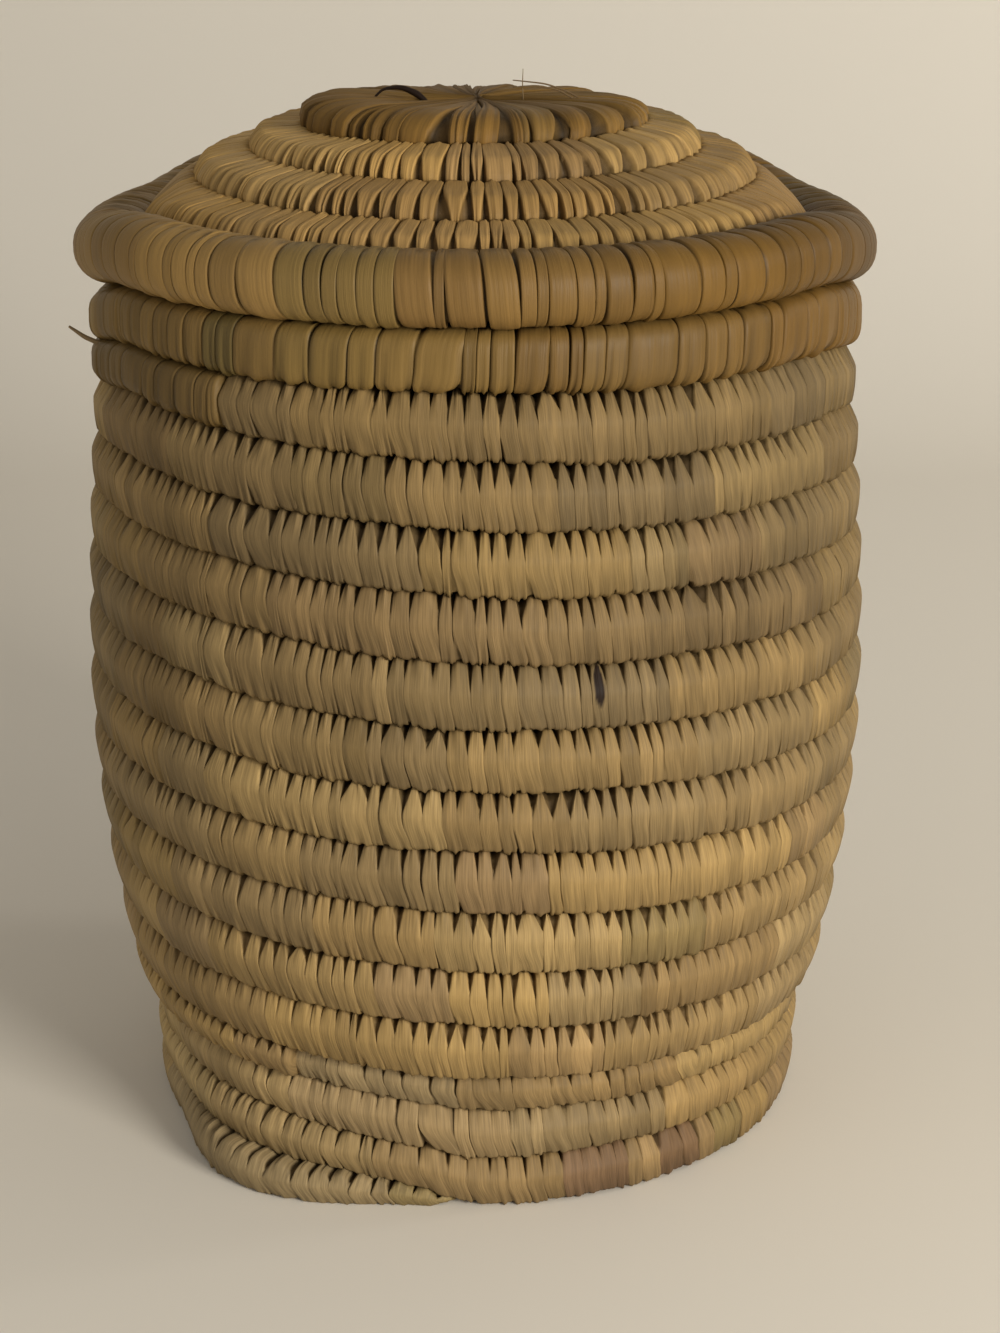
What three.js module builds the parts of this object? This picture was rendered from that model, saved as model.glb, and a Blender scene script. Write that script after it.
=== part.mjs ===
// Coiled basket with a lifting lid.
// Bundles of grass are wound into coils and sewn or wrapped with palm leaf strips.
// A turn is counted from the front, clockwise seen from above: front, left, back, right.
import * as THREE from 'three';

// Winding
const stepsPerTurn = 24;
const coilGap = 0.55;
const endGap = 0.45;
const fitGap = 0.4;
const seatGap = 0.3;
const samplesPerEdge = 4;
const neighbourReach = 0.25;

// A sewn coil is round outside and drawn in where the strips cross the seam
const seamPinch = 2.6;
const shoulderShare = 0.09;
const shoulderDropShare = 0.65;

// Sewn wall coil
const wallTurns = 11;
const wallCourseHeight = 23.4;
const wallCoilDepth = 20;
const wallCoilBulge = 3.5;
const waistRadius = 137;
const bellyRadius = 150.5;
const bellyHeight = 172;
const bellyFullness = 2;
const shoulderFullness = 1.5;

// Ring foot, with a blunt tail that the turns above drop over
const footTurns = 3;
const lowFootCourse = 20;
const middleFootCourse = 21;
const topFootCourse = 15;
const footSetback = 8.5;
const footFlare = 2.5;
const footCoilDepth = 18;
const footCoilBulge = 2.5;
const footTailTurn = 1 / 24;
const footTopTurn = 2 / 24;
const tailRise = 17.5;
const tailBluntness = 0.06;
const tailSplay = 15.5;
const tailSplayFade = 0.45;
const tailSplayTurns = [0.02, 0.19];

// How the turns climb: faster across the front left than round the back
const courseLean = 3.8;
const courseLeanTurn = 0.08;
const leanFirstTurn = 2;
const leanFadeTurns = 3;
const backRisePerTurn = 1.3;
const backRiseFirstTurn = 8;

// Mouth and lid droop at both sides, from a little in front of the middle
const droopDepth = 10;
const droopRise = 98;
const droopReach = 18;
const droopStartTurns = [0.158, 0.256];
const droopEndTurns = [0.311, 0.383];
const mouthGape = 4.5;
const mouthGapeFirstTurn = 10;

// Close-wrapped rim, which starts under itself at the front left and ends at the back
const rimHeight = 21.6;
const rimRadius = 144.8;
const rimOverhang = 1.8;
const rimDepth = 20;
const rimStartTurn = 2.5 / 24;
const rimLevelTurn = 0.08;
const rimEndTurn = 0.5;
const rimEndThickness = 8;
const wrapThickness = 1.5;
const coreClearance = 0.35;

// Floor spiral
const floorCoilDepth = 20;
const floorCoilPitch = 22.5;
const floorCoilBulge = 3.5;
const floorClearance = 1;
const floorTailTurn = 3 / 24;
const floorKnotRadius = 15;
const floorTipWidth = 4;

// Lid
const lidTurns = 3;
const lidCoursePitch = 20.3;
const lidSlope = Math.atan(0.49);
const lidCoilDepth = 20;
const lidCoilBulge = 3.5;
const lidOverhang = 5.2;
const lidRimHeight = 25.5;
const lidRimTopWidth = 12;
const lidRimOuterBulge = 9;
const lidRimOuterFlat = 10;
const lidSeamDrop = 4.8;
const lidRimWidth = 25;
const lidRampTurn = 0.15;
const lidTipWidth = 3;
const buttonRise = 5.6;
const buttonEdgeFall = 1.2;
const buttonTopFall = 0.5;
const buttonDimple = 1.5;
const buttonDimpleRadius = 20;
const buttonBackLean = 0.05;
const buttonFold = 0.7;
const buttonShoulder = 14;
const buttonDepth = 14;
const locatingRingHeight = 19;
const locatingRingDepth = 16;
const locatingRingBulge = 2.5;
const locatingRingClearance = 3;

// Radii that follow from the rim and the waist: the lid sits on the rim, and the wall runs from foot to rim
const footRadius = waistRadius - footSetback;
const shoulderRadius = rimRadius - rimOverhang;
const lidRimRadius = rimRadius + lidOverhang;
const lidSeamRadius = lidRimRadius - lidRimWidth;

// Heights that follow from the courses, from the ground up
const footHeight = lowFootCourse + middleFootCourse + topFootCourse;
const rimBottom = footHeight + wallTurns * wallCourseHeight;
const rimTop = rimBottom + rimHeight;
const firstWallTurn = footTurns + 1;
const rimTurn = firstWallTurn + wallTurns;
const wallStart = firstWallTurn - 1 + footTopTurn;
const rimStart = rimTurn - 1 + rimStartTurn;
const rimEnd = rimTurn + rimEndTurn;

// Height of the spiral seam where it crosses the front, by whole turns
function frontSeam(turn) {
  const footSeams = [0, 0, lowFootCourse, lowFootCourse + middleFootCourse];
  return turn < firstWallTurn ? footSeams[turn] : footHeight + (turn - firstWallTurn) * wallCourseHeight;
}

// Share of the droop at a part of a turn on either side of the front
function droopShare(fromFront) {
  const start = THREE.MathUtils.smoothstep(fromFront, ...droopStartTurns);
  return start - THREE.MathUtils.smoothstep(fromFront, ...droopEndTurns);
}

// The left side of the mouth sinks a little away from the lid
function leftGape(turn) {
  const upwards = (turn - mouthGapeFirstTurn) / (rimTurn - mouthGapeFirstTurn);
  return mouthGape * THREE.MathUtils.clamp(upwards, 0, 1) * droopShare(turn - Math.floor(turn));
}

// Height of the one spiral seam that runs under the coil from the foot's tail to the rim's end
function seamHeight(turn) {
  if (turn < 1) {
    return 0;
  }
  if (turn > rimEnd) {
    return rimTop + coilGap - leftGape(turn);
  }
  if (turn >= rimTurn) {
    const climb = THREE.MathUtils.smoothstep(turn - rimTurn, rimLevelTurn, rimEndTurn);
    return rimBottom + climb * (rimHeight - rimEndThickness) - leftGape(turn);
  }
  const whole = Math.floor(turn);
  const part = turn - whole;
  const angle = 2 * Math.PI * part;
  const steady = THREE.MathUtils.lerp(frontSeam(whole), frontSeam(whole + 1), part);
  const tailShare = Math.max(0, 1 - (whole - 1) / footTurns);
  const overTail = tailRise * tailShare * (1 - Math.exp(-part / tailBluntness) - part);
  const leanIn = THREE.MathUtils.clamp((turn - leanFirstTurn) / leanFadeTurns, 0, 1);
  const leanOut = THREE.MathUtils.clamp((rimTurn - turn) / leanFadeTurns, 0, 1);
  const leanAngle = 2 * Math.PI * courseLeanTurn;
  const lean = courseLean * leanIn * leanOut * (Math.sin(angle - leanAngle) + Math.sin(leanAngle));
  const backRise = backRisePerTurn * Math.max(0, whole - backRiseFirstTurn) * (1 - Math.cos(angle)) / 2;
  return steady + overTail + lean + backRise - leftGape(turn);
}

// Outermost radius of each coil at a height
function wallRadius(height) {
  if (height < bellyHeight) {
    const down = (bellyHeight - height) / (bellyHeight - footHeight);
    return bellyRadius - (bellyRadius - waistRadius) * down ** bellyFullness;
  }
  const up = (height - bellyHeight) / (rimBottom - bellyHeight);
  return bellyRadius - (bellyRadius - shoulderRadius) * up ** shoulderFullness;
}

// The tail splays out from under the turns above it, and these follow it less and less
function footOuterRadius(height, turn) {
  const whole = Math.floor(turn);
  const along = (turn - whole - tailSplayTurns[0]) / (tailSplayTurns[1] - tailSplayTurns[0]);
  const swell = Math.sin(Math.PI * THREE.MathUtils.clamp(along, 0, 1)) ** 2;
  const splay = tailSplay * tailSplayFade ** whole * swell;
  return footRadius + footFlare * height / footHeight + splay;
}

// Section of a stacked coil between its lower and upper seam, as [radius, height] points
function stackedSection(turn, radiusAt, depth, bulge) {
  const low = seamHeight(turn);
  const high = seamHeight(turn + 1) - coilGap;
  const middle = (low + high) / 2;
  const lowShoulder = THREE.MathUtils.lerp(low, high, shoulderShare);
  const highShoulder = THREE.MathUtils.lerp(high, low, shoulderShare);
  const shoulderDrop = bulge * shoulderDropShare;
  return [
    [radiusAt(low, turn) - bulge - seamPinch, low],
    [radiusAt(lowShoulder, turn) - shoulderDrop, lowShoulder],
    [radiusAt(middle, turn), middle],
    [radiusAt(highShoulder, turn) - shoulderDrop, highShoulder],
    [radiusAt(high, turn) - bulge - seamPinch, high],
    [radiusAt(high, turn) - depth + bulge, high],
    [radiusAt(middle, turn) - depth, middle],
    [radiusAt(low, turn) - depth + bulge, low],
  ];
}

// Section drawn in evenly by a distance on every side
function insetSection(section, distance) {
  const count = section.length;
  const lines = section.map((point, index) => {
    const next = section[(index + 1) % count];
    const along = new THREE.Vector2(next[0] - point[0], next[1] - point[1]).normalize();
    const inward = new THREE.Vector2(-along.y, along.x);
    return { along, base: new THREE.Vector2(point[0], point[1]).addScaledVector(inward, distance) };
  });
  return lines.map((line, index) => {
    const before = lines[(index + count - 1) % count];
    const between = line.base.clone().sub(before.base);
    const reach = between.cross(line.along) / before.along.cross(line.along);
    const corner = before.base.clone().addScaledVector(before.along, reach);
    return [corner.x, corner.y];
  });
}

// Turns at which a coil gets a section: even steps, with straight runs of a coil's depth at both ends
function sectionTurns(start, end, straightTurn) {
  const turns = [start];
  for (let step = Math.ceil(start * stepsPerTurn); step / stepsPerTurn < end; step += 1) {
    const turn = step / stepsPerTurn;
    if (turn > start + straightTurn && turn < end - straightTurn) {
      turns.push(turn);
    }
  }
  turns.push(end);
  return turns;
}

// How far the mouth and the lid hang down beside their front: nothing in front, at the back and low down
function sideDroop(radius, height, turn) {
  const fromFront = Math.abs(turn - Math.round(turn));
  const outwards = THREE.MathUtils.smoothstep(radius, lidSeamRadius - droopReach, lidSeamRadius);
  const upwards = 1 - (rimBottom - height) / droopRise;
  return droopDepth * droopShare(fromFront) * outwards * THREE.MathUtils.clamp(upwards, 0, 1);
}

// A point is [radius, height], with the radius that it droops with as a third value where that is another
function place([radius, height, droopRadius = radius], turn) {
  const angle = 2 * Math.PI * turn;
  const drooped = height - sideDroop(droopRadius, height, turn);
  return new THREE.Vector3(-radius * Math.sin(angle), -radius * Math.cos(angle), drooped);
}

// One skin of a coil, section by section
function skinTriangles(ringCount, sides, first, outward) {
  const triangles = [];
  for (let ring = 0; ring + 1 < ringCount; ring += 1) {
    for (let side = 0; side < sides; side += 1) {
      const a = first + ring * sides + side;
      const b = first + ring * sides + (side + 1) % sides;
      const c = a + sides;
      const d = b + sides;
      triangles.push(...(outward ? [a, b, c, b, d, c] : [a, c, b, b, c, d]));
    }
  }
  return triangles;
}

function geometryFrom(points, triangles) {
  const geometry = new THREE.BufferGeometry();
  geometry.setAttribute('position', new THREE.Float32BufferAttribute(points.flatMap((p) => p.toArray()), 3));
  geometry.setIndex(triangles);
  geometry.computeVertexNormals();
  return geometry;
}

// Closed tube along a coil, solid, or hollow with open ends where a bore is given
function coilGeometry(turns, sectionAt, boreAt) {
  const rings = turns.map((turn) => sectionAt(turn).map((point) => place(point, turn)));
  const sides = rings[0].length;
  const points = rings.flat();
  const triangles = skinTriangles(rings.length, sides, 0, true);
  const last = (rings.length - 1) * sides;
  if (!boreAt) {
    for (let side = 1; side + 1 < sides; side += 1) {
      triangles.push(0, side + 1, side);
      triangles.push(last, last + side, last + side + 1);
    }
    return geometryFrom(points, triangles);
  }
  const bore = points.length;
  points.push(...turns.flatMap((turn) => boreAt(turn).map((point) => place(point, turn))));
  triangles.push(...skinTriangles(rings.length, sides, bore, false));
  for (let side = 0; side < sides; side += 1) {
    const next = (side + 1) % sides;
    const lastSide = last + side;
    const lastNext = last + next;
    triangles.push(side, bore + next, next, side, bore + side, bore + next);
    triangles.push(lastNext, bore + lastSide, lastSide, lastNext, bore + lastNext, bore + lastSide);
  }
  return geometryFrom(points, triangles);
}

// Points round a section, along each of its edges
function edgeSamples(corners) {
  return corners.flatMap((corner, side) => {
    const next = corners[(side + 1) % corners.length];
    const shares = Array.from({ length: samplesPerEdge }, (_, index) => index / samplesPerEdge);
    return shares.map((share) => corner.clone().lerp(next, share));
  });
}

// Least distance between points on neighbouring turns of one coil, at its sections and halfway between
function leastSelfGap(turns, sectionAt) {
  const rings = [];
  turns.forEach((turn, index) => {
    const near = sectionAt(turn).map((point) => place(point, turn));
    rings.push({ turn, samples: edgeSamples(near) });
    if (index + 1 < turns.length) {
      const nextTurn = turns[index + 1];
      const far = sectionAt(nextTurn).map((point) => place(point, nextTurn));
      const halfway = near.map((corner, side) => corner.clone().lerp(far[side], 0.5));
      rings.push({ turn: (turn + nextTurn) / 2, samples: edgeSamples(halfway) });
    }
  });
  let least = Infinity;
  for (const ring of rings) {
    const others = rings.filter((other) => Math.abs(other.turn - ring.turn - 1) < neighbourReach);
    for (const other of others) {
      for (const point of ring.samples) {
        for (const second of other.samples) {
          least = Math.min(least, point.distanceTo(second));
        }
      }
    }
  }
  return least;
}

const basket = new THREE.Group();

function addPiece(name, geometry, color, roughness) {
  const mesh = new THREE.Mesh(geometry, new THREE.MeshStandardMaterial({ color, roughness, metalness: 0 }));
  mesh.name = name;
  basket.add(mesh);
}

function reportGap(name, turns, sectionAt) {
  console.log(`${name}: least gap to itself ${leastSelfGap(turns, sectionAt).toFixed(2)} mm`);
}

function addCoil(name, turns, sectionAt, color, roughness) {
  addPiece(name, coilGeometry(turns, sectionAt), color, roughness);
  reportGap(name, turns, sectionAt);
}

// Wrapped coil: a grass core inside a close sleeve of leaf
function addWrappedCoil(coreName, wrapName, turns, sectionAt) {
  const boreAt = (turn) => insetSection(sectionAt(turn), wrapThickness);
  const coreAt = (turn) => insetSection(sectionAt(turn), wrapThickness + coreClearance);
  addPiece(coreName, coilGeometry(turns, coreAt), 0x6b5636, 0.9);
  reportGap(coreName, turns, coreAt);
  addPiece(wrapName, coilGeometry(turns, sectionAt, boreAt), 0x927247, 0.6);
  reportGap(wrapName, turns, sectionAt);
}

function turnShare(length, radius) {
  return length / (2 * Math.PI * radius);
}

// Ring foot
const footSectionAt = (turn) => stackedSection(turn, footOuterRadius, footCoilDepth, footCoilBulge);
const footStraight = turnShare(footCoilDepth, footRadius);
const footEnd = wallStart - turnShare(endGap, footRadius);
addCoil('foot_coil', sectionTurns(footTailTurn, footEnd, footStraight), footSectionAt, 0x8c7148, 0.75);

// Wall
const wallSectionAt = (turn) => stackedSection(turn, wallRadius, wallCoilDepth, wallCoilBulge);
const wallStraight = turnShare(wallCoilDepth, bellyRadius);
const wallEnd = rimStart - turnShare(endGap, shoulderRadius);
addCoil('wall_coil', sectionTurns(wallStart, wallEnd, wallStraight), wallSectionAt, 0x9a7c50, 0.7);

// Rim
const rimSectionAt = (turn) => stackedSection(turn, () => rimRadius, rimDepth, wallCoilBulge);
const rimTurns = sectionTurns(rimStart, rimEnd, turnShare(rimDepth, rimRadius));
addWrappedCoil('rim_core', 'rim_wrap', rimTurns, rimSectionAt);

// Floor: a flat spiral from a knot outwards, lying on the foot and inside the lowest wall turn
const floorFlat = floorCoilDepth - 2 * floorCoilBulge;
const floorHeight = seamHeight(wallStart + 1) + floorClearance + floorCoilDepth / 2;
const floorRadius = wallRadius(floorHeight - floorFlat / 2) - wallCoilDepth - fitGap;

function floorSeam(turn) {
  return floorRadius - floorCoilPitch * Math.max(0, turn - 1);
}

function floorSection(turn) {
  const outer = floorSeam(turn);
  const inner = Math.max(floorSeam(turn + 1) + coilGap, floorKnotRadius + fitGap);
  const bulge = floorCoilBulge * Math.min(1, (outer - inner) / floorCoilPitch);
  const middle = (outer + inner) / 2;
  return [
    [outer, floorHeight - floorFlat / 2],
    [outer, floorHeight + floorFlat / 2],
    [middle, floorHeight + floorFlat / 2 + bulge],
    [inner, floorHeight + floorFlat / 2],
    [inner, floorHeight - floorFlat / 2],
    [middle, floorHeight - floorFlat / 2 - bulge],
  ];
}

const floorEnd = 1 + (floorRadius - floorKnotRadius - fitGap - floorTipWidth) / floorCoilPitch;
addCoil('base_coil', sectionTurns(floorTailTurn, floorEnd, 0), floorSection, 0x8f7550, 0.8);

// Disc turned about the upright axis, with its facets in line with the coils' steps
function turnedGeometry(profile) {
  const outline = profile.map(([radius, height]) => new THREE.Vector2(radius, height));
  return new THREE.LatheGeometry(outline, stepsPerTurn).rotateX(Math.PI / 2);
}

const knotTop = floorHeight + floorFlat / 2 + floorCoilBulge;
const knotBottom = floorHeight - floorFlat / 2 - floorCoilBulge;
addPiece('base_knot', turnedGeometry([
  [0, knotBottom],
  [floorKnotRadius - floorCoilBulge, knotBottom],
  [floorKnotRadius, knotBottom + floorCoilBulge],
  [floorKnotRadius, knotTop - floorCoilBulge],
  [floorKnotRadius - floorCoilBulge, knotTop],
  [0, knotTop],
]), 0x8a6f49, 0.8);

// Lid: seam points lie on a cone, and each turn hangs below its stretch of it
const lidBottom = rimTop + seatGap;
const lidRimMiddle = lidBottom + lidRimHeight / 2;
const lidSeamHeight = lidBottom + lidRimHeight - lidSeamDrop;
const buttonRadius = lidSeamRadius - lidTurns * lidCoursePitch;
const slopeAlong = new THREE.Vector2(Math.cos(lidSlope), -Math.sin(lidSlope));
const slopeOut = new THREE.Vector2(Math.sin(lidSlope), Math.cos(lidSlope));
const lidFlat = lidCoilDepth - 2 * lidCoilBulge;

function conePoint(radius) {
  return new THREE.Vector2(radius, lidSeamHeight + (lidSeamRadius - radius) * Math.tan(lidSlope));
}

// Radius of the lid's spiral seam, which steps out at the back; turns here are counted from the back
function lidSeam(turn) {
  let radius = buttonRadius;
  for (let course = 1; course <= lidTurns; course += 1) {
    radius += lidCoursePitch * THREE.MathUtils.smoothstep(turn - course, -lidRampTurn, lidRampTurn);
  }
  return radius;
}

function lidSection(turn) {
  const inner = conePoint(lidSeam(turn)).addScaledVector(slopeAlong, coilGap / 2);
  const outer = conePoint(lidSeam(turn + 1)).addScaledVector(slopeAlong, -coilGap / 2);
  const fullness = Math.min(1, inner.distanceTo(outer) / lidCoursePitch);
  const bulge = lidCoilBulge * fullness;
  const shoulderRise = bulge * (1 - shoulderDropShare);
  const middle = inner.clone().lerp(outer, 0.5);
  const below = (point, depth) => point.clone().addScaledVector(slopeOut, -depth).toArray();
  return [
    below(outer, lidFlat),
    below(outer, seamPinch * fullness),
    below(outer.clone().lerp(inner, shoulderShare), -shoulderRise),
    below(middle, -bulge),
    below(inner.clone().lerp(outer, shoulderShare), -shoulderRise),
    below(inner, seamPinch * fullness),
    below(inner, lidFlat),
    below(middle, lidFlat + bulge),
  ];
}

// Turn at which the lid's coil has thinned out to its tip, found on the smooth step outwards
function lidTipTurn() {
  let turn = -lidRampTurn;
  while (lidSeam(turn + 1) - lidSeam(turn) < lidTipWidth) {
    turn += lidRampTurn / 100;
  }
  return turn;
}

const fromBack = 0.5;
const lidTip = lidTipTurn();
const lidCoilTurns = sectionTurns(lidTip + fromBack, lidTurns - lidTip + fromBack, 0);
addCoil('lid_coil', lidCoilTurns, (turn) => lidSection(turn - fromBack), 0x94774c, 0.7);

// Close-wrapped edge of the lid, one turn whose ends meet at the back
const lidEdgeFlat = conePoint(lidSeamRadius).y - lidRimMiddle;
const lidRimInner = lidSeamRadius - lidEdgeFlat * Math.tan(lidSlope) + fitGap;
const lidRimTopOuter = lidRimRadius - lidRimOuterBulge;
const lidRimTopInner = lidRimTopOuter - lidRimTopWidth;
const lidRimSection = [
  [lidRimTopOuter, lidBottom],
  [lidRimRadius, lidRimMiddle - lidRimOuterFlat / 2],
  [lidRimRadius, lidRimMiddle + lidRimOuterFlat / 2],
  [lidRimTopOuter, lidBottom + lidRimHeight],
  [lidRimTopInner, lidBottom + lidRimHeight],
  [lidRimInner, lidRimMiddle],
  [lidRimTopInner, lidBottom],
];
const lidRimEndTurn = turnShare(endGap, lidRimInner);
const lidRimTurns = sectionTurns(fromBack + lidRimEndTurn, fromBack + 1 - lidRimEndTurn, 0);
addWrappedCoil('lid_rim_core', 'lid_rim_wrap', lidRimTurns, () => lidRimSection);

// Start disc in the middle of the lid. Its top leans back and lies in folds, where leaf is gathered.
const buttonSeam = conePoint(buttonRadius).addScaledVector(slopeAlong, -fitGap);
const buttonFoot = buttonSeam.clone().addScaledVector(slopeOut, -buttonDepth);
const buttonProfile = [
  [0, buttonFoot.y],
  buttonFoot.toArray(),
  buttonSeam.toArray(),
  [buttonRadius + fitGap, buttonSeam.y + buttonRise / 2],
  [buttonRadius - lidCoilBulge, buttonSeam.y + buttonRise - buttonEdgeFall],
  [buttonRadius - buttonShoulder, buttonSeam.y + buttonRise],
  [buttonDimpleRadius, buttonSeam.y + buttonRise - buttonTopFall],
  [0, buttonSeam.y + buttonRise - buttonDimple],
];

function foldedButton() {
  const geometry = turnedGeometry(buttonProfile);
  const places = geometry.getAttribute('position');
  for (let index = 0; index < places.count; index += 1) {
    const step = Math.floor(index / buttonProfile.length);
    const radius = buttonProfile[index % buttonProfile.length][0];
    const height = places.getZ(index);
    const raised = THREE.MathUtils.clamp((height - buttonSeam.y) / buttonRise, 0, 1);
    const folded = (step % 2 ? 0.5 : -0.5) * buttonFold * Math.min(1, radius / buttonDimpleRadius);
    places.setZ(index, height + raised * (folded - buttonBackLean * places.getY(index)));
  }
  return geometry;
}

addPiece('lid_button', foldedButton(), 0x8a6c44, 0.7);

// Ring under the lid that keeps it centred in the mouth
const ringOuter = rimRadius - rimDepth - locatingRingClearance;
const lidUnderside = conePoint(lidSeamRadius).addScaledVector(slopeOut, -lidFlat).y;
const ringTop = lidUnderside - fitGap;
const ringBottom = ringTop - locatingRingHeight;
const ringMiddle = (ringTop + ringBottom) / 2;
const ringFlatOuter = ringOuter - locatingRingBulge;
const ringFlatInner = ringOuter - locatingRingDepth + locatingRingBulge;
const ringSection = [
  [ringFlatOuter, ringBottom],
  [ringOuter, ringMiddle],
  [ringFlatOuter, ringTop],
  [ringFlatInner, ringTop],
  [ringOuter - locatingRingDepth, ringMiddle],
  [ringFlatInner, ringBottom],
].map(([radius, height]) => [radius, height, ringFlatOuter]);
const ringEndTurn = turnShare(endGap, ringOuter - locatingRingDepth);
const ringTurns = sectionTurns(fromBack + ringEndTurn, fromBack + 1 - ringEndTurn, 0);
addCoil('lid_locating_ring', ringTurns, () => ringSection, 0x8a6f49, 0.8);

export default basket;
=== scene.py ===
"""Coiled lidded basket: grass coils sewn and wrapped with palm leaf strips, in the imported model's frame."""
import math

import bpy
import numpy as np
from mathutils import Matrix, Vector


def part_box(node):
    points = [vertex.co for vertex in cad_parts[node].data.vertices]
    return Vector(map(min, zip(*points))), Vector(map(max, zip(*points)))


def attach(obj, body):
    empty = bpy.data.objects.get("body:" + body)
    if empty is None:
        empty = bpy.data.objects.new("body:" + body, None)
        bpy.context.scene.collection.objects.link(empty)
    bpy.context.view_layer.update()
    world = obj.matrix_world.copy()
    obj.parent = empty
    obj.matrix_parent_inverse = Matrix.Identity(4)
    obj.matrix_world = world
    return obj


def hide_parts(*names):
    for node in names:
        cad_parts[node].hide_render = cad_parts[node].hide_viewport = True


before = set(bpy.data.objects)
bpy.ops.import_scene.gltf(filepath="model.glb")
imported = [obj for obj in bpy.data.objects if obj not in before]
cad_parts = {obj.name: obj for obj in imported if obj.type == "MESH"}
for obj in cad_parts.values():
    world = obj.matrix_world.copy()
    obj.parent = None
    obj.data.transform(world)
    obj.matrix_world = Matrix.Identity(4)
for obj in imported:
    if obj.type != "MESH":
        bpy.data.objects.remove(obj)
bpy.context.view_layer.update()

MM = 0.001
TAU = 2 * math.pi
SEED = 41
rng = np.random.default_rng(SEED)
scene = bpy.context.scene

# Sizes of the solids that the sewing follows, in mm and turns
WALL_TURNS, COURSE, WALL_DEPTH = 11, 23.4, 20.0
WAIST_RADIUS, BELLY_RADIUS, SHOULDER_RADIUS, BELLY_HEIGHT = 137.0, 150.5, 143.0, 172.0
WAIST_CURVE, SHOULDER_CURVE = 2, 1.5
FOOT_TURNS = 3
FOOT_SEAMS = (0.0, 0.0, 20.0, 41.0, 56.0)
FOOT_RADIUS, FOOT_FLARE, FOOT_DEPTH = 128.5, 2.5, 18.0
TAIL_TURN, FOOT_TOP_TURN = 1 / 24, 2 / 24
TAIL_RISE, TAIL_BLUNTNESS = 17.5, 0.06
TAIL_SPLAY, TAIL_SPLAY_FADE, TAIL_SPLAY_TURNS = 15.5, 0.45, (0.02, 0.19)
LEAN, LEAN_ANGLE = 3.8, TAU * 0.08
LEAN_FIRST_TURN, LEAN_FADE_TURNS = 2, 3
BACK_RISE, BACK_RISE_FIRST = 1.3, 8
DROOP_DEPTH, DROOP_RISE, DROOP_REACH = 10.0, 98.0, 18.0
DROOP_START, DROOP_END = (0.158, 0.256), (0.311, 0.383)
GAPE, GAPE_FIRST_TURN = 4.5, 10
RIM_HEIGHT, RIM_RADIUS, RIM_DEPTH = 21.6, 144.8, 20.0
RIM_START_TURN, RIM_LEVEL_TURN, RIM_END_TURN, RIM_END_THICKNESS = 2.5 / 24, 0.08, 0.5, 8.0
RIM_LAST_TURN = 0.04
FIRST_WALL_TURN = FOOT_TURNS + 1
RIM_TURN = FIRST_WALL_TURN + WALL_TURNS
FOOT_HEIGHT = FOOT_SEAMS[-1]
RIM_BOTTOM = FOOT_HEIGHT + WALL_TURNS * COURSE
RIM_TOP = RIM_BOTTOM + RIM_HEIGHT
WALL_START = FIRST_WALL_TURN - 1 + FOOT_TOP_TURN
RIM_START = RIM_TURN - 1 + RIM_START_TURN
RIM_END = RIM_TURN + RIM_END_TURN
LID_TURNS, LID_PITCH, LID_SLOPE, LID_DEPTH = 3, 20.3, math.atan(0.49), 20.0
LID_SEAM_RADIUS, LID_PROUD, LID_GAP, LID_RIM_OVERLAP = 125.0, 3.5, 0.3, 4.8
LID_BOTTOM = RIM_TOP + LID_GAP
LID_RIM_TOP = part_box("lid_rim_wrap")[1].z / MM
LID_RIM_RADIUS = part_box("lid_rim_wrap")[1].x / MM
LID_SEAM_HEIGHT = LID_RIM_TOP - LID_RIM_OVERLAP
BUTTON_RADIUS = LID_SEAM_RADIUS - LID_TURNS * LID_PITCH
LID_RAMP_TURN, LEFT_DIP = 0.15, 2.5

# Unevenness of hand work: height in mm, waves a turn and start of each wave
COIL_WAVES = ((0.45, 2.27, 0.6), (0.4, 5.13, 2.0), (0.3, 11.7, 4.1))
RING_WAVES = ((0.2, 3, 1.0), (0.12, 7, 2.0))
UNEVEN_FROM, UNEVEN_TO = (1.2, 2.2), (RIM_TURN - 1.2, RIM_TURN - 0.2)

# How far neighbouring turns reach into each other's sewing, in mm
COIL_OVERLAP, FLOOR_OVERLAP = 0.3, 0.2


def srgb(red, green, blue):
    """Linear colour from 8-bit sRGB values."""
    c = np.array([red, green, blue]) / 255.0
    return np.where(c <= 0.04045, c / 12.92, ((c + 0.055) / 1.055) ** 2.4)


LEAF = {
    "golden": srgb(158, 128, 78),
    "tan": srgb(142, 115, 73),
    "straw": srgb(168, 140, 92),
    "grey": srgb(134, 112, 78),
    "mauve": srgb(138, 111, 77),
    "olive": srgb(114, 99, 61),
    "brown": srgb(124, 98, 62),
    "umber": srgb(112, 90, 60),
    "dark": srgb(88, 80, 52),
    "red": srgb(108, 78, 60),
    "spot": srgb(30, 16, 5),
}
GRASS = srgb(108, 86, 54)


def smoothstep(x, low, high):
    t = np.clip((x - low) / (high - low), 0.0, 1.0)
    return t * t * (3.0 - 2.0 * t)


def running_sum(steps):
    return np.concatenate([[0], np.cumsum(steps)])


def unevenness(turn, waves):
    return sum(height * np.sin(TAU * turn * count + start) for height, count, start in waves)


def left_share(turn):
    """How far a place lies to the left: 0 in front and behind, 1 at the side."""
    return np.clip(np.sin(TAU * turn), 0, 1) ** 2


def front_seam(whole):
    foot = np.array(FOOT_SEAMS)[np.clip(whole, 0, FIRST_WALL_TURN).astype(int)]
    return np.where(whole < FIRST_WALL_TURN, foot, FOOT_HEIGHT + (whole - FIRST_WALL_TURN) * COURSE)


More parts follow.
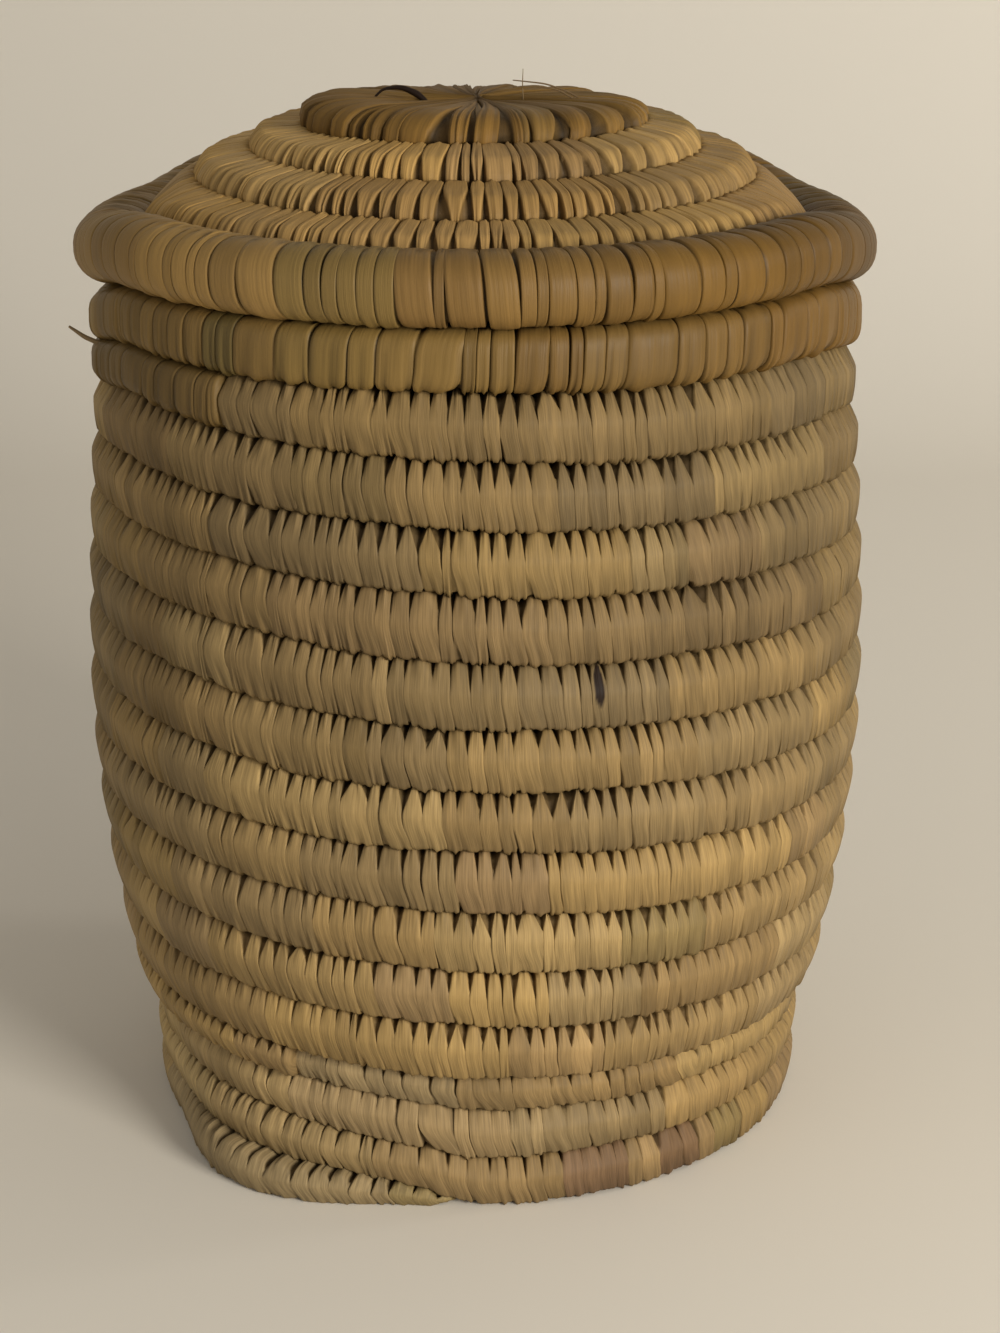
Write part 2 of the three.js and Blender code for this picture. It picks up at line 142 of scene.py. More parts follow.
def hand_wobble(turn):
    """Small unevenness of hand work, the same for the two courses that share a seam."""
    return unevenness(turn, COIL_WAVES) * smoothstep(turn, *UNEVEN_FROM) * (1 - smoothstep(turn, *UNEVEN_TO))


def droop_share(from_front):
    return smoothstep(from_front, *DROOP_START) - smoothstep(from_front, *DROOP_END)


def left_gape(turn):
    """How far the left side of the mouth sinks away from the lid."""
    upwards = np.clip((turn - GAPE_FIRST_TURN) / (RIM_TURN - GAPE_FIRST_TURN), 0, 1)
    return GAPE * upwards * droop_share(turn - np.floor(turn))


def seam_height(turn):
    """Height of the spiral seam under the coil, from the foot's tail to the rim's end."""
    turn = np.asarray(turn, float)
    whole = np.floor(turn)
    part = turn - whole
    angle = TAU * part
    low = front_seam(whole)
    steady = low + (front_seam(whole + 1) - low) * part
    tail = TAIL_RISE * np.clip(1 - (whole - 1) / FOOT_TURNS, 0, None)
    over_tail = tail * (1 - np.exp(-part / TAIL_BLUNTNESS) - part)
    fade = np.clip((turn - LEAN_FIRST_TURN) / LEAN_FADE_TURNS, 0, 1)
    fade = fade * np.clip((RIM_TURN - turn) / LEAN_FADE_TURNS, 0, 1)
    lean = LEAN * fade * (np.sin(angle - LEAN_ANGLE) + math.sin(LEAN_ANGLE))
    back = BACK_RISE * np.clip(whole - BACK_RISE_FIRST, 0, None) * (1 - np.cos(angle)) / 2
    wall = steady + over_tail + lean + back + hand_wobble(turn)
    climb = smoothstep(turn - RIM_TURN, RIM_LEVEL_TURN, RIM_END_TURN)
    rim = RIM_BOTTOM + climb * (RIM_HEIGHT - RIM_END_THICKNESS)
    last = smoothstep(turn - RIM_END, 0.0, RIM_LAST_TURN) * RIM_END_THICKNESS
    height = np.where(turn < RIM_TURN, wall, np.where(turn <= RIM_END, rim, rim + last))
    return np.where(turn < 1, 0.0, height - left_gape(turn))


def wall_radius(height, _turn):
    down = np.clip((BELLY_HEIGHT - height) / (BELLY_HEIGHT - FOOT_HEIGHT), 0, None)
    up = np.clip((height - BELLY_HEIGHT) / (RIM_BOTTOM - BELLY_HEIGHT), 0, None)
    waist = (BELLY_RADIUS - WAIST_RADIUS) * down**WAIST_CURVE
    shoulder = (BELLY_RADIUS - SHOULDER_RADIUS) * up**SHOULDER_CURVE
    return BELLY_RADIUS - waist - shoulder


def foot_radius(height, turn):
    whole = np.floor(turn)
    first, last = TAIL_SPLAY_TURNS
    along = (turn - whole - first) / (last - first)
    splay = TAIL_SPLAY * TAIL_SPLAY_FADE**whole * np.sin(np.pi * np.clip(along, 0, 1)) ** 2
    return FOOT_RADIUS + FOOT_FLARE * height / FOOT_HEIGHT + splay


def rim_radius(height, _turn):
    return RIM_RADIUS + 0.0 * height


def place(radius, turn, height, droop_radius=None):
    """Point round the axis. The mouth and the lid droop at both sides."""
    angle = TAU * turn
    reach = radius if droop_radius is None else droop_radius
    outwards = smoothstep(reach, LID_SEAM_RADIUS - DROOP_REACH, LID_SEAM_RADIUS)
    upwards = np.clip(1 - (RIM_BOTTOM - height) / DROOP_RISE, 0, 1)
    droop = DROOP_DEPTH * droop_share(np.abs(turn - np.round(turn))) * outwards * upwards
    return np.stack([-radius * np.sin(angle), -radius * np.cos(angle), height - droop + 0 * angle], -1)


BLUNTEST_END = 0.02


def end_scale(turn, ends, lengths):
    """Rounds a coil off at its two ends, over lengths given in turns."""
    from_start = np.clip((turn - ends[0]) / lengths[0], 0, 1)
    to_end = np.clip((ends[1] - turn) / lengths[1], 0, 1)
    return np.sqrt(np.clip(1 - (1 - np.minimum(from_start, to_end)) ** 2, BLUNTEST_END, 1))


# Half height in mm under which a coil's bulge shrinks, and the least share that stays
FULL_BULGE_HEIGHT, LEAST_BULGE = 10.0, 0.15


def bulge_share(half_height):
    return np.clip(half_height / FULL_BULGE_HEIGHT, LEAST_BULGE, 1.0)


def depth_share(half_height, least, full_height):
    """A coil is less deep where it thins out."""
    return np.minimum(1.0, least + half_height / full_height)


class Profile:
    """Outline of a coil's section, from its upper seam down the outside and up the inside.

    Its points have shares of the half width and half height, a drop in mm towards the middle, an outward
    direction, and the share of the way down their face."""

    # Half width and half height in mm of the section that gives the outward directions
    TYPICAL = (10.0, 11.0)

    def __init__(self, wide, high, drop, down):
        self.wide, self.high, self.drop, self.down = wide, high, drop, down
        self.side = np.sign(np.round(wide, 6))
        across, up = self.TYPICAL[0] * wide - self.side * drop, self.TYPICAL[1] * high
        along_a, along_b = np.roll(across, -1) - np.roll(across, 1), np.roll(up, -1) - np.roll(up, 1)
        length = np.hypot(along_a, along_b)
        self.out_a, self.out_b = -along_b / length, along_a / length

    def at(self, half_a, half_b, offset, bulge=1.0):
        a = half_a * self.wide - self.side * self.drop * bulge + offset * self.out_a
        return a, half_b * self.high + offset * self.out_b


END_CROWDING = 0.07


def closer_ends(count):
    share = np.linspace(0, 1, count)
    return share - END_CROWDING * np.sin(TAU * share)


# Where a sewn face turns into its seams, as a share of the half height, and the curves of its bulge and slope
PINCH_FROM = 0.84
BULGE_CURVE, SLOPE_CURVE = 1.8, 1.25


def sewn_profile(outer, inner, bulge, corner, crest=0.0, slope=None):
    """Section of a sewn coil: two bulging faces that are pinched in at flat seams.

    The outer face may have a crest off its middle, above which the tips of the strips lie in a slope."""
    front, back = closer_ends(outer), closer_ends(inner)
    high = np.concatenate([1 - 2 * front, [-1], 2 * back - 1, [1]])
    wide = np.concatenate([np.ones(outer), [0], -np.ones(inner), [0]])
    pinch = np.clip((np.abs(high) - PINCH_FROM) / (1 - PINCH_FROM), 0, 1) ** 2
    above = np.clip((high - crest) / (1 - crest), 0, 1)
    below = np.clip((crest - high) / (1 + crest), 0, 1)
    upper = slope * above**SLOPE_CURVE if slope else bulge * above**BULGE_CURVE
    face = np.where(wide > 0, upper + bulge * below**BULGE_CURVE, bulge * np.abs(high) ** BULGE_CURVE)
    drop = np.where(wide == 0, 0.0, face + corner * pinch)
    return Profile(wide, high, drop, np.concatenate([front, [1], 1 - back, [0]]))


def round_profile(outer, inner, exponent):
    """Section of a wrapped coil: a rounded tube."""
    front, back = closer_ends(outer), np.linspace(0, 1, inner + 2)[1:-1]
    angle = np.concatenate([np.pi / 2 - np.pi * front, -np.pi / 2 - np.pi * back])
    c, s = np.cos(angle), np.sin(angle)
    wide = np.sign(c) * np.abs(c) ** (2 / exponent)
    high = np.sign(s) * np.abs(s) ** (2 / exponent)
    return Profile(wide, high, 0 * wide, np.concatenate([front, 1 - back]))


class Surface:
    """Base of the surfaces. Called with turns, offsets and lifts, each gives points in mm."""

    closed_rows = True

    def __init__(self, profile, **shape):
        self.profile, self.down = profile, profile.down
        self.__dict__.update(shape)


class Stacked(Surface):
    """Surface of a coil whose turns lie on each other."""

    SLOPE_STEP = 4.0

    def __call__(self, turn, offset, lift):
        low, high = seam_height(turn), seam_height(turn + 1)
        middle = (low + high) / 2
        scale = end_scale(turn, self.ends, self.round_turn)
        half_b = ((high - low) / 2 + self.overlap) * scale
        a, b = self.profile.at(self.depth / 2 * scale, half_b, offset, bulge_share(half_b))
        step = self.SLOPE_STEP
        slope = (self.radius_at(middle + step, turn) - self.radius_at(middle - step, turn)) / (2 * step)
        radius = self.radius_at(middle, turn) - self.depth / 2 + a + slope * b
        return place(radius, turn, np.maximum(middle + b + lift, 0.0))

    def mean_length(self, turn):
        return TAU * self.radius_at(seam_height(turn), turn)


def cone_point(radius):
    return radius, LID_SEAM_HEIGHT + (LID_SEAM_RADIUS - radius) * math.tan(LID_SLOPE)


def lid_seam(turn):
    """Radius of the lid's spiral seam, which steps out at the back. Turns start at the back here."""
    radius = BUTTON_RADIUS + 0.0 * turn
    for course in range(1, LID_TURNS + 1):
        radius = radius + LID_PITCH * smoothstep(turn - course, -LID_RAMP_TURN, LID_RAMP_TURN)
    return radius


class LidCoil(Surface):
    """Surface of the lid's stepped coil. Its outside is the cone, its upper seam the inner one."""

    LEAST_DEPTH, FULL_HEIGHT = 0.35, 12.0

    def __call__(self, turn, offset, lift):
        back = turn - 0.5
        r_in, z_in = cone_point(lid_seam(back))
        r_out, z_out = cone_point(lid_seam(back + 1))
        scale = end_scale(turn, self.ends, self.round_turn)
        half_b = (np.hypot(r_out - r_in, z_out - z_in) / 2 + COIL_OVERLAP) * scale
        half_a = LID_DEPTH / 2 * depth_share(half_b, self.LEAST_DEPTH, self.FULL_HEIGHT) * scale
        a, b = self.profile.at(half_a, half_b, offset, bulge_share(half_b))
        a, b = a - (LID_DEPTH / 2 - LID_PROUD), b + lift
        sin, cos = math.sin(LID_SLOPE), math.cos(LID_SLOPE)
        radius = (r_in + r_out) / 2 + a * sin - b * cos
        height = (z_in + z_out) / 2 + a * cos + b * sin
        dip = LEFT_DIP * left_share(turn) * np.clip(1 - (radius - BUTTON_RADIUS) / LID_PITCH, 0, 1)
        return place(radius, turn, height - dip)


class Ring(Surface):
    """Surface of a ring, which droops with one radius."""

    def __call__(self, turn, offset, lift):
        a, b = self.profile.at(self.half_a, self.half_b, offset)
        radius = self.radius + a + unevenness(turn, RING_WAVES)
        return place(radius, turn, self.height + b + lift, self.droop_radius)


class FloorCoil(Surface):
    """Surface of the flat floor spiral, from its outer tip inwards. Its outside is its top."""

    LEAST_DEPTH, FULL_HEIGHT, LEAST_HALF_WIDTH = 0.3, 10.0, 0.5

    def seam(self, turn):
        return self.outer - self.pitch * np.clip(turn - 1, 0, None)

    def __call__(self, turn, offset, lift):
        r_out = self.seam(turn)
        r_in = np.maximum(self.seam(turn + 1), self.knot)
        scale = end_scale(turn, self.ends, self.round_turn)
        half_b = np.maximum((r_out - r_in) / 2 + FLOOR_OVERLAP, self.LEAST_HALF_WIDTH) * scale
        half_a = self.depth / 2 * depth_share(half_b, self.LEAST_DEPTH, self.FULL_HEIGHT) * scale
        a, b = self.profile.at(half_a, half_b, offset, bulge_share(half_b))
        return place((r_out + r_in) / 2 + b + lift, turn, self.height + a)


# Outline of a start disc: radius and depth below its crest, from its top's middle to its underside's
DISC_OUTLINE = np.array([
    (2.0, 1.5), (10.0, 1.3), (22.0, 0.5), (36.0, 0.1), (50.0, 0.0),
    (57.0, 0.6), (61.5, 1.9), (64.0, 3.8), (64.8, 6.0), (64.2, 8.2), (62.5, 10.6),
    (58.0, 16.0), (45.0, 18.0), (25.0, 18.2), (3.0, 18.2),
])


class Button:
    """Surface of a start disc, from its top's middle over the edge to its underside's middle."""

    closed_rows = False
    # The swollen left edge stands up between two radii and hangs down between two depths, in mm
    SWELL_UP, SWELL_RADII = 1.6, (20.0, 50.0)
    SWELL_DOWN, SWELL_DEPTHS = 4.5, (2.0, 8.0)
    LEANING_DEPTH = 5.6

    def __init__(self, rows, radius, top, thickness, edge_share, drift=(0.0, 0.0), back_lean=0.0,
                 left_swell=0.0):
        r = DISC_OUTLINE[:, 0] * radius / DISC_OUTLINE[:, 0].max()
        z = top - DISC_OUTLINE[:, 1] * thickness / DISC_OUTLINE[-1, 1]
        along = running_sum(np.hypot(np.diff(r), np.diff(z)))
        share = np.linspace(0, along[-1], rows)
        self.down = np.clip(np.linspace(0, 1, rows) / edge_share, 0, 1)
        self.r, self.z, self.drift = np.interp(share, along, r), np.interp(share, along, z), drift
        along_r, along_z = np.gradient(self.r), np.gradient(self.z)
        length = np.hypot(along_r, along_z)
        self.out_r, self.out_z = -along_z / length, along_r / length
        self.edge, self.back_lean, self.left_swell = radius, back_lean, left_swell
        self.raised = np.clip(1 - (top - self.z) / self.LEANING_DEPTH, 0, 1)
        up = self.SWELL_UP * smoothstep(self.r, *self.SWELL_RADII)
        self.swell = up - self.SWELL_DOWN * smoothstep(self.z[0] - self.z, *self.SWELL_DEPTHS)

    def __call__(self, turn, offset, lift):
        r, z = self.r + offset * self.out_r, self.z + offset * self.out_z + 0 * turn
        z = z + left_share(turn) * self.left_swell * self.swell
        z = z + self.back_lean * self.raised * r * np.cos(TAU * turn)
        drift = np.clip(1 - r / self.edge, 0, 1)[..., None] * np.array([*self.drift, 0.0])
        return place(r, turn, z) + drift


# Places across a strip, edge to edge; a groove lies before each strip
ACROSS = np.array([-1.0, -0.95, -0.75, -0.5, -0.25, 0.0, 0.25, 0.5, 0.75, 0.95, 1.0])
AT_EDGE = (np.abs(ACROSS) == 1.0)[None, :, None]


class Style:
    """How a kind of strip lies. Lengths are in mm, gaps and leans are shares of a strip's width,
    and reaches are shares of a face's height."""

    def __init__(self, **values):
        # Notches between the tips and between the lower ends, slits, and the hair gap all along a strip
        self.top_gap, self.top_reach, self.top_power = 0.8, 0.34, 1.5
        self.low_gap, self.low_reach, self.low_power = 0.1, 0.1, 1.2
        self.slit, self.top_slit, self.low_slit, self.slit_chance = 0.1, 0.7, 0.4, 0.2
        self.seam = 0.006
        # Crown and creases in the middle and at the ends, and where the folds of the ends begin
        self.crown, self.tip_crown, self.crease, self.tip_crease = 0.02, 0.12, 0.02, 0.4
        self.pleat_top, self.pleat_low = 0.3, 0.45
        # Grooves between strips, at the seams and in open gaps
        self.groove, self.seam_groove, self.deep = 0.02, 0.2, 2.0
        # How the ends rise and fall, how the strips lean, and how they lie over each other
        self.zigzag, self.low_zigzag, self.ragged = 0.9, 0.15, 0.5
        self.slant, self.lean, self.jitter = 0.0, 0.28, 0.08
        self.shingle, self.level = 0.24, 0.12
        # Painted shade: how dark folds, edge lines and lower halves are, and the tone of the grass in the
        # gaps, which painted shade darkens
        self.fold_shade, self.line, self.worn, self.grass_shade = 0.5, 0.75, 0.25, 0.5
        self.__dict__.update(values)


# Narrowest and widest strip, as shares of the mean
STRIP_WIDTHS = (0.45, 1.9)


def hand_cut(count, spread):
    return np.clip(rng.normal(1.0, spread, count), *STRIP_WIDTHS)


def strip_widths(length, mean, spread):
    """Widths of strips that fill a length, each varied by hand."""
    widths = hand_cut(max(3, int(round(length / mean))), spread)
    return widths / widths.sum() * length


# How far a strip strays from the middle between two tips below it, and its least width
STRAY_SPREAD, LEAST_INTERLOCKED = 0.11, 0.4


def interlocked_bounds(start, end, per_turn, spread, shift):
    """Edges of strips along a coil: each turn's strips start between the tips of the turn below."""
    widths = hand_cut(per_turn, spread)
    first_turn = running_sum(widths) / widths.sum() * (1 + 0.5 / per_turn)
    bounds = list(start + first_turn)
    while bounds[-1] < end:
        low, high = bounds[-per_turn], bounds[-per_turn + 1]
        bounds.append(1 + (low + high) / 2 + (shift + rng.normal(0, STRAY_SPREAD)) * (high - low))
        bounds[-1] = max(bounds[-1], bounds[-2] + LEAST_INTERLOCKED / per_turn)
    bounds[-1] = end
    return np.array(bounds)


# Share of a leaf's own colour over the mean, and of its main colour in that
OWN_COLOUR, MAIN_COLOUR = 0.7, 0.7
ODD_CHANCE, ODD_TONES = 0.05, (0.72, 1.2)
TONE_SPREAD, TONES = 0.08, (0.78, 1.22)


def leaf_colours(count, weights, run):
    """One colour a strip: a leaf lasts for a run of strips, then the next one has its own."""
    names = list(weights)
    chance = np.array([weights[n] for n in names], float)
    chance /= chance.sum()
    mean = sum(LEAF[n] * c for n, c in zip(names, chance))
    colours = np.zeros((count, 3))
    at = 0
    while at < count:
        length = int(rng.integers(*run))
        main = LEAF[names[rng.choice(len(names), p=chance)]]
        other = LEAF[names[rng.choice(len(names), p=chance)]]
        own = MAIN_COLOUR * main + (1 - MAIN_COLOUR) * other
        colours[at : at + length] = (1 - OWN_COLOUR) * mean + OWN_COLOUR * own
        at += length
    odd = np.where(rng.random((count, 1)) < ODD_CHANCE, rng.uniform(*ODD_TONES, (count, 1)), 1.0)
    return colours * odd * rng.normal(1.0, TONE_SPREAD, (count, 1)).clip(*TONES)


# Ranges of what differs from strip to strip, most of them about a style's own value
VARIED = {
    "reach": (0.6, 1.4), "slit_reach": (0.5, 1.4), "chance": (0, 1),
    "top_gap": (0.2, 1.2), "low_gap": (0.2, 1.5), "slit": (0.5, 1.3),
    "aside": (-0.35, 0.35), "lean": (0.7, 1.3), "either_way": (-1, 1),
    "crown": (0.6, 1.4), "crease": (0.3, 1.4), "fold_start": (0, 6.3),
    "shingle": (-0.2, 1.0), "groove": (0.5, 1.8), "line": (0, 1),
    "fibre_across": (0, 400), "fibre_along": (0, 90),
}


def vary(name, count):
    """One value a strip, within a named range."""
    return rng.uniform(*VARIED[name], (count, 1, 1))


def opening(share, reach, power):
    """How far a gap is open, from 1 at a strip's end to 0 at the gap's reach."""
    return np.clip(1 - share / reach, 0, 1) ** power


# Tight and loose work changes over this many strips
LOOSE_STRIPS = 9
LOOSE, LOOSE_SPREAD, LOOSE_RANGE = 0.8, 0.3, (0.15, 1.3)
SLIT_POWER, LOW_SLIT_SHARE = 0.6, 0.6
GAPS = (0.005, 0.85)


def strip_gaps(down, style, count):
    """Gap beside each strip as a share of its width: notches at its tip and its lower end, and slits."""
    tight = rng.normal(0, 1, count + LOOSE_STRIPS - 1)
    tight = np.convolve(tight, np.ones(LOOSE_STRIPS) / math.sqrt(LOOSE_STRIPS), "valid")[:, None, None]
    loose = np.clip(LOOSE + LOOSE_SPREAD * tight, *LOOSE_RANGE)
    top = opening(down, style.top_reach * vary("reach", count), style.top_power) * loose
    low = opening(1 - down, style.low_reach * vary("reach", count), style.low_power)
    top_slit = opening(down, style.top_slit * vary("slit_reach", count), SLIT_POWER)
    top_slit = top_slit * (vary("chance", count) < style.slit_chance)
    low_slit = opening(1 - down, style.low_slit * vary("slit_reach", count), SLIT_POWER)
    low_slit = low_slit * (vary("chance", count) < LOW_SLIT_SHARE * style.slit_chance)
    gap = style.top_gap * vary("top_gap", count) * top + style.low_gap * vary("low_gap", count) * low
    gap = gap + style.slit * vary("slit", count) * (top_slit + low_slit)
    return np.clip(gap + style.seam, *GAPS)


# Height and waves of a leaf's folds, how flat it lies in its middle, and how deep its edges turn down
FOLDS = ((1.0, 4.5), (0.8, 9.0))
FLAT_SHARE, EDGE_DEPTH = 0.25, 0.6


def strip_relief(v, opened, pleat, style, count):
    """Height of each leaf over its coil in mm, depth of the groove beside it, and the leaf's folds."""
    crown = (style.crown + (style.tip_crown - style.crown) * pleat) * vary("crown", count) * (1 - v**2)
    crease = (style.crease + (style.tip_crease - style.crease) * pleat) * vary("crease", count)
    folds = sum(size * np.cos(v * waves + vary("fold_start", count)) for size, waves in FOLDS)
    crease = crease * folds * (1 - v**6)
    tilt = style.shingle * v * vary("shingle", count) + style.level * vary("either_way", count)
    leaf = crown + crease + (FLAT_SHARE + (1 - FLAT_SHARE) * pleat) * tilt
    depth = (style.groove + style.seam_groove * pleat) * vary("groove", count) + style.deep * opened
    leaf = np.where(AT_EDGE, np.minimum(leaf, 0.0) - EDGE_DEPTH * depth, leaf)
    return leaf, depth, folds


# Part of a strip's width that its leaf may fill, and the gaps between which a groove opens
LEAF_RANGE, OPEN_GAPS = (0.002, 0.998), (0.012, 0.08)
# Parts of a face's height in which strips lean aside and in which painted shade darkens their leaf
LEANING, SHADED_FACE = (0.45, 1.0), (0.3, 0.9)
TIP_STEEPNESS = 2.6
# Painted shade: how much open gaps and lines darken an edge and pleats a groove, and the darkest fold
GAP_ON_EDGE, LINE_ON_EDGE, PLEAT_ON_GROOVE, DARKEST_FOLD = 0.6, 0.8, 0.3, 1.6
LINE_RARITY = 3
# Size of a strip in the veins' own units
FIBRE_WIDTH, FIBRE_LENGTH = 3.5, 30.0


def sewn_surface(surface, bounds, colours, down, style, grass_shade=1.0):
    """Vertex places and attributes of one coil's strips: arrays of strips, columns and rows."""
    count = len(bounds) - 1
    width = np.diff(bounds)[:, None, None]
    start = bounds[:-1][:, None, None]
    down = down[None, None, :]
    v = ACROSS[None, :, None]
    gap = strip_gaps(down, style, count)
    opened = smoothstep(gap, *OPEN_GAPS)
    pleat = np.maximum(opening(down, style.pleat_top, 1.0), opening(1 - down, style.pleat_low, 1.0))

    x = 0.5 + v / 2 * (1 - gap) + vary("aside", count) * gap / 2
    x = np.concatenate([np.zeros_like(gap), np.clip(x, *LEAF_RANGE)], 1)
    lean = style.lean * vary("lean", count) * smoothstep(down, *LEANING) - style.slant * (down - 0.5)
    lean = lean + style.jitter * vary("either_way", count) * (down - 0.5)
    leaf, depth, folds = strip_relief(v, opened, pleat, style, count)
    at_top = smoothstep(1 - TIP_STEEPNESS * down, 0, 1)
    at_low = smoothstep(1 - TIP_STEEPNESS * (1 - down), 0, 1)
    lift = (style.zigzag * at_top - style.low_zigzag * at_low) * np.cos(TAU * (x - 0.5))
    lift = lift + style.ragged * at_low * vary("either_way", count) * (1 - (2 * x - 1) ** 4)
    points = surface(start + width * (x - lean), np.concatenate([-depth, leaf], 1), lift)

    # Painted shade: dark lines at strip edges, darker grooves in the pleats and beside open gaps, and dark
    # fold valleys
    line = np.minimum(style.line * vary("line", count) ** LINE_RARITY, 1.0)
    groove = 1 - np.maximum(opened, np.maximum(line, PLEAT_ON_GROOVE * pleat))
    edge = 1 - np.maximum(GAP_ON_EDGE * opened, LINE_ON_EDGE * line)
    folded = 1 - style.fold_shade * pleat * np.clip(-folds / DARKEST_FOLD, 0, 1)
    on_leaf = np.concatenate([groove, np.where(AT_EDGE, edge, folded)], 1)
    # Painted shade darkens the lower part of each face
    worn = (1 - style.worn * smoothstep(down, *SHADED_FACE))[..., None]
    tint = colours[:, None, None, :] * worn * on_leaf[..., None]
    # Grass shows in the gaps, its tone lowered by painted shade
    tint = tint + GRASS * style.grass_shade * grass_shade * (1 - on_leaf[..., None])
    across = FIBRE_WIDTH * np.concatenate([-1 + 0 * gap, v * (1 - gap)], 1) + vary("fibre_across", count)
    along = np.broadcast_to(down * FIBRE_LENGTH + vary("fibre_along", count), across.shape)
    return points, tint, np.stack([across, along, on_leaf], -1)


def grid_faces(strips, columns, rows, closed_strips, closed_rows):
    """Quads over a strip grid, which may close on itself along its strips and round its rows."""
    line = np.arange(strips * columns)
    if not closed_strips:
        line = line[: (strips - 1) * columns + 1]
    first, second = line[:-1], line[1:]
    if closed_strips:
        first, second = line, np.roll(line, -1)
    row = np.arange(rows if closed_rows else rows - 1)
    after = (row + 1) % rows
    a = first[:, None] * rows + row
    b = second[:, None] * rows + row
    c = second[:, None] * rows + after
    d = first[:, None] * rows + after
    return np.stack([a, b, c, d], -1).reshape(-1, 4), first, row


# Width and girth in mm of a usual strip, and the free share at both edges of a band in the layout
STRIP_WIDTH, STRIP_GIRTH = 10.0, 70.0
BAND_MARGIN = 0.03
CAP_UV = (0.999, 0.999)


def bake_layout(first, row, columns, rows, strips):
    """Lays the strips out in rows on the unit square, so that every face has a place of its own."""
    bands = max(1, int(round(math.sqrt(strips * STRIP_WIDTH / STRIP_GIRTH))))
    per_band = math.ceil(strips / bands)
    strip, column = first // columns, first % columns
    band = strip // per_band
    left = (strip % per_band + column / columns) / per_band
    right = left + 1.0 / columns / per_band
    height = 1 - 2 * BAND_MARGIN
    low = (band[:, None] + BAND_MARGIN + height * row / rows) / bands
    high = (band[:, None] + BAND_MARGIN + height * (row + 1) / rows) / bands
    left, right = left[:, None] + 0 * low, right[:, None] + 0 * low
    corners = [(left, low), (right, low), (right, high), (left, high)]
    return np.stack([np.stack(c, -1) for c in corners], 2).reshape(-1, 2)


def piece_from_grid(name, points, tint, fibre, material, closed_strips=False, closed_rows=True):
    """One closed mesh object from a strip grid, with its ends capped."""
    strips, columns, rows = points.shape[:3]
    quads, first, row = grid_faces(strips, columns, rows, closed_strips, closed_rows)
    uv = bake_layout(first, row, columns, rows, strips)
    used = strips * columns if closed_strips else (strips - 1) * columns + 1
    flat = points.reshape(-1, 3)[: used * rows] * MM
    colour = tint.reshape(-1, 3)[: used * rows]
    grain = fibre.reshape(-1, 3)[: used * rows]
    caps = []
    if closed_rows and not closed_strips:
        caps = [np.arange(rows), (used - 1) * rows + np.arange(rows)[::-1]]
    if not closed_rows:
        caps = [np.arange(used)[::-1] * rows, np.arange(used) * rows + rows - 1]
    triangles = []
    for ring in caps:
        flat = np.vstack([flat, flat[ring].mean(0)])
        colour = np.vstack([colour, GRASS])
        grain = np.vstack([grain, [0, 0, 0]])
        centre = np.full(len(ring), len(flat) - 1)
        triangles.append(np.stack([ring, centre, np.roll(ring, -1)], -1)[:, [0, 2, 1]])
    triangles = np.concatenate(triangles) if triangles else np.zeros((0, 3), np.int64)
    mesh = bpy.data.meshes.new(name)
    loops = np.concatenate([quads.ravel(), triangles.ravel()])
    sizes = np.concatenate([np.full(len(quads), 4), np.full(len(triangles), 3)])
    mesh.vertices.add(len(flat))
    mesh.loops.add(len(loops))
    mesh.polygons.add(len(sizes))
    mesh.vertices.foreach_set("co", flat.ravel())
    mesh.loops.foreach_set("vertex_index", loops.astype(np.int32))
    mesh.polygons.foreach_set("loop_start", running_sum(sizes)[:-1].astype(np.int32))
    mesh.update(calc_edges=True)
    mesh.validate()
    mesh.polygons.foreach_set("use_smooth", np.ones(len(mesh.polygons), bool))
    layer = mesh.uv_layers.new(name="OFBake")
    layer.data.foreach_set("uv", np.vstack([uv, np.tile(CAP_UV, (len(triangles) * 3, 1))]).ravel())
    attribute = mesh.attributes.new("tint", "FLOAT_COLOR", "POINT")
    attribute.data.foreach_set("color", np.hstack([colour, np.ones((len(flat), 1))]).ravel())
    attribute = mesh.attributes.new("fibre", "FLOAT_VECTOR", "POINT")
    attribute.data.foreach_set("vector", grain.ravel())
    obj = bpy.data.objects.new(name, mesh)
    scene.collection.objects.link(obj)
    mesh.materials.append(material)
    return obj


# Veins, broad bands and stains of a leaf: how fine they are, their detail and strength
VEIN_SCALE, VEIN_DETAIL = (1.9, 0.05, 0.0), 3.0
BAND_SCALE, BAND_DETAIL, BAND_STRENGTH = (0.45, 0.035, 0.0), 2.0, 0.8
STAIN_SCALE, STAIN_DETAIL, PALE_STAIN = 16.0, 4.0, 0.6
NOISE_RANGE = (0.25, 0.75)
ROUGHNESS_SPREAD, VEIN_BUMP, VEIN_HEIGHT, LEAF_SPECULAR = 0.1, 0.35, 0.0006, 0.2


